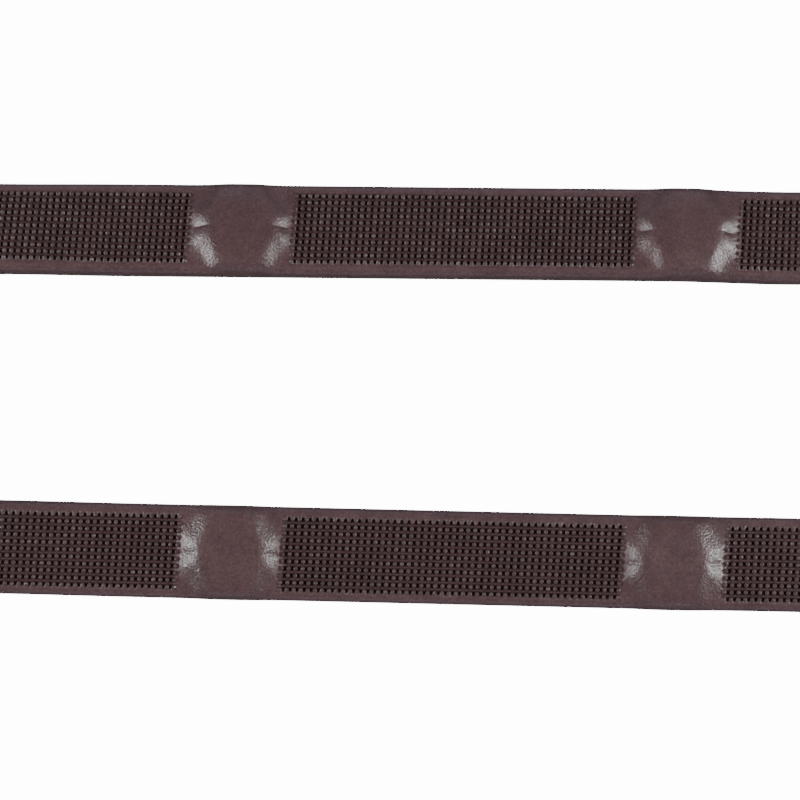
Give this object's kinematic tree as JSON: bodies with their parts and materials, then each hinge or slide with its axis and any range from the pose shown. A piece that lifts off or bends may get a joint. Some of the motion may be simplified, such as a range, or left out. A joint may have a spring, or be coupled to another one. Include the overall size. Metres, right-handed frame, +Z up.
{
  "type": "leather reins",
  "caption": "Pair of rubber-covered leather riding reins with raised internal hand stops, a centre buckle and hook-stud billets, hanked for storage.",
  "frame": {"origin": "centre of the bounding box at floor level", "axes": "+X from the hanks and billets to the centre buckle, +Y from the left rein to the right rein, +Z up"},
  "size_m": [0.609, 0.2642, 0.0249],
  "materials": {
    "strap_leather": "dark brown bridle leather, waxed, fine grain",
    "keeper_leather": "dark brown bridle leather, waxed",
    "stop_leather": "plain skived leather, hidden under the rubber",
    "grip_rubber": "dark brown pimpled natural rubber, matt to satin",
    "tie_webbing": "dark brown woven elastic tape",
    "hardware_steel": "polished stainless steel"
  },
  "bodies": {
    "reins": {"left_rein_strap": "strap_leather", "right_rein_strap": "strap_leather", "left_rubber_grip": "grip_rubber", "right_rubber_grip": "grip_rubber", "left_bit_loop": "strap_leather", "right_bit_loop": "strap_leather", "left_hand_stop_1": "stop_leather", "left_hand_stop_2": "stop_leather", "left_hand_stop_3": "stop_leather", "left_hand_stop_4": "stop_leather", "left_hand_stop_5": "stop_leather", "left_hand_stop_6": "stop_leather", "right_hand_stop_1": "stop_leather", "right_hand_stop_2": "stop_leather", "right_hand_stop_3": "stop_leather", "right_hand_stop_4": "stop_leather", "right_hand_stop_5": "stop_leather", "right_hand_stop_6": "stop_leather", "left_hook_stud": "hardware_steel", "right_hook_stud": "hardware_steel", "left_stud_burr": "hardware_steel", "right_stud_burr": "hardware_steel", "buckle_frame": "hardware_steel", "buckle_fixed_keeper": "keeper_leather", "left_hank_tie": "tie_webbing", "right_hank_tie": "tie_webbing"},
    "tongue": {"buckle_tongue": "hardware_steel"},
    "runner": {"buckle_runner": "keeper_leather"},
    "left_tip": {"left_billet_tip": "strap_leather"},
    "right_tip": {"right_billet_tip": "strap_leather"},
    "left_keeper": {"left_billet_keeper": "keeper_leather"},
    "right_keeper": {"right_billet_keeper": "keeper_leather"}
  },
  "joints": [
    {"name": "buckle_tongue_lift", "type": "hinge", "parent": "reins", "child": "tongue", "pos_m": [0.2965, 0.0012, 0.01185], "axis": [0, 0, -1], "range_deg": [0, 20]},
    {"name": "buckle_runner_slide", "type": "slide", "parent": "reins", "child": "runner", "axis": [0, 1, 0], "range_m": [-0.0015, 0.0055]},
    {"name": "left_billet_open", "type": "hinge", "parent": "reins", "child": "left_tip", "pos_m": [-0.29574, -0.12326, 0.01025], "axis": [0, 0, -1], "range_deg": [0, 150], "deforming": ["left_bit_loop"]},
    {"name": "right_billet_open", "type": "hinge", "parent": "reins", "child": "right_tip", "pos_m": [-0.29574, 0.12326, 0.01025], "axis": [0, 0, 1], "range_deg": [0, 150], "deforming": ["right_bit_loop"]},
    {"name": "left_keeper_slide", "type": "slide", "parent": "reins", "child": "left_keeper", "axis": [0.9367, 0.3502, 0], "range_m": [-0.03, 0.008]},
    {"name": "right_keeper_slide", "type": "slide", "parent": "reins", "child": "right_keeper", "axis": [0.9367, -0.3502, 0], "range_m": [-0.03, 0.008]}
  ]
}
